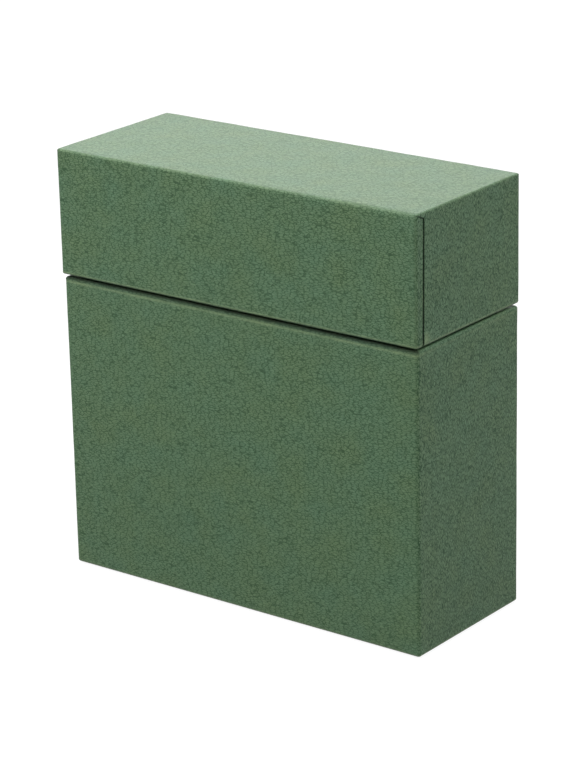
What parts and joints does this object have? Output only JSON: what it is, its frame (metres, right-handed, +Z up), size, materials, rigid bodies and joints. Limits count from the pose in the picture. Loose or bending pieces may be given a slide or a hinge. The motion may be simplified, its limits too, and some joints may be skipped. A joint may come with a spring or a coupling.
{
  "type": "jewellery drawer box",
  "caption": "Upright jewellery box wrapped in green leatherette, whose hollow head lifts a lined tray with ring rolls and a compartment straight up out of a board case.",
  "frame": {"origin": "middle of the closed box's outline, on the surface that it stands on", "axes": "+X to the right along the broad front, +Y to the back, +Z up, the way the drawer lifts"},
  "size_m": [0.115, 0.046, 0.117],
  "materials": {
    "leatherette": "matte",
    "greyboard": "matte",
    "suede_paper": "matte",
    "suede_cloth": "matte"
  },
  "bodies": {
    "case": {"case_front_board": "greyboard", "case_back_board": "greyboard", "case_left_board": "greyboard", "case_right_board": "greyboard", "case_floor_board": "greyboard", "case_wrap": "leatherette", "case_lining": "suede_paper", "case_base_sheet": "leatherette", "case_floor_pad": "suede_paper"},
    "drawer": {"head_top_board": "greyboard", "head_front_board": "greyboard", "head_back_board": "greyboard", "head_left_board": "greyboard", "head_right_board": "greyboard", "head_base_board": "greyboard", "head_wrap": "leatherette", "head_base_sheet": "leatherette", "tray_back_board": "greyboard", "tray_left_board": "greyboard", "tray_right_board": "greyboard", "tray_top_board": "greyboard", "tray_foot_board": "greyboard", "tray_lip_board": "greyboard", "tray_wrap": "suede_paper", "tray_lining": "suede_paper", "divider_board": "greyboard", "divider_wrap": "suede_paper", "ring_roll_1": "suede_cloth", "ring_roll_2": "suede_cloth", "ring_roll_3": "suede_cloth", "ring_roll_4": "suede_cloth", "compartment_pad": "suede_cloth"}
  },
  "joints": [
    {"name": "drawer_slide", "type": "slide", "parent": "case", "child": "drawer", "axis": [0, 0, 1], "range_m": [0, 0.075]}
  ]
}
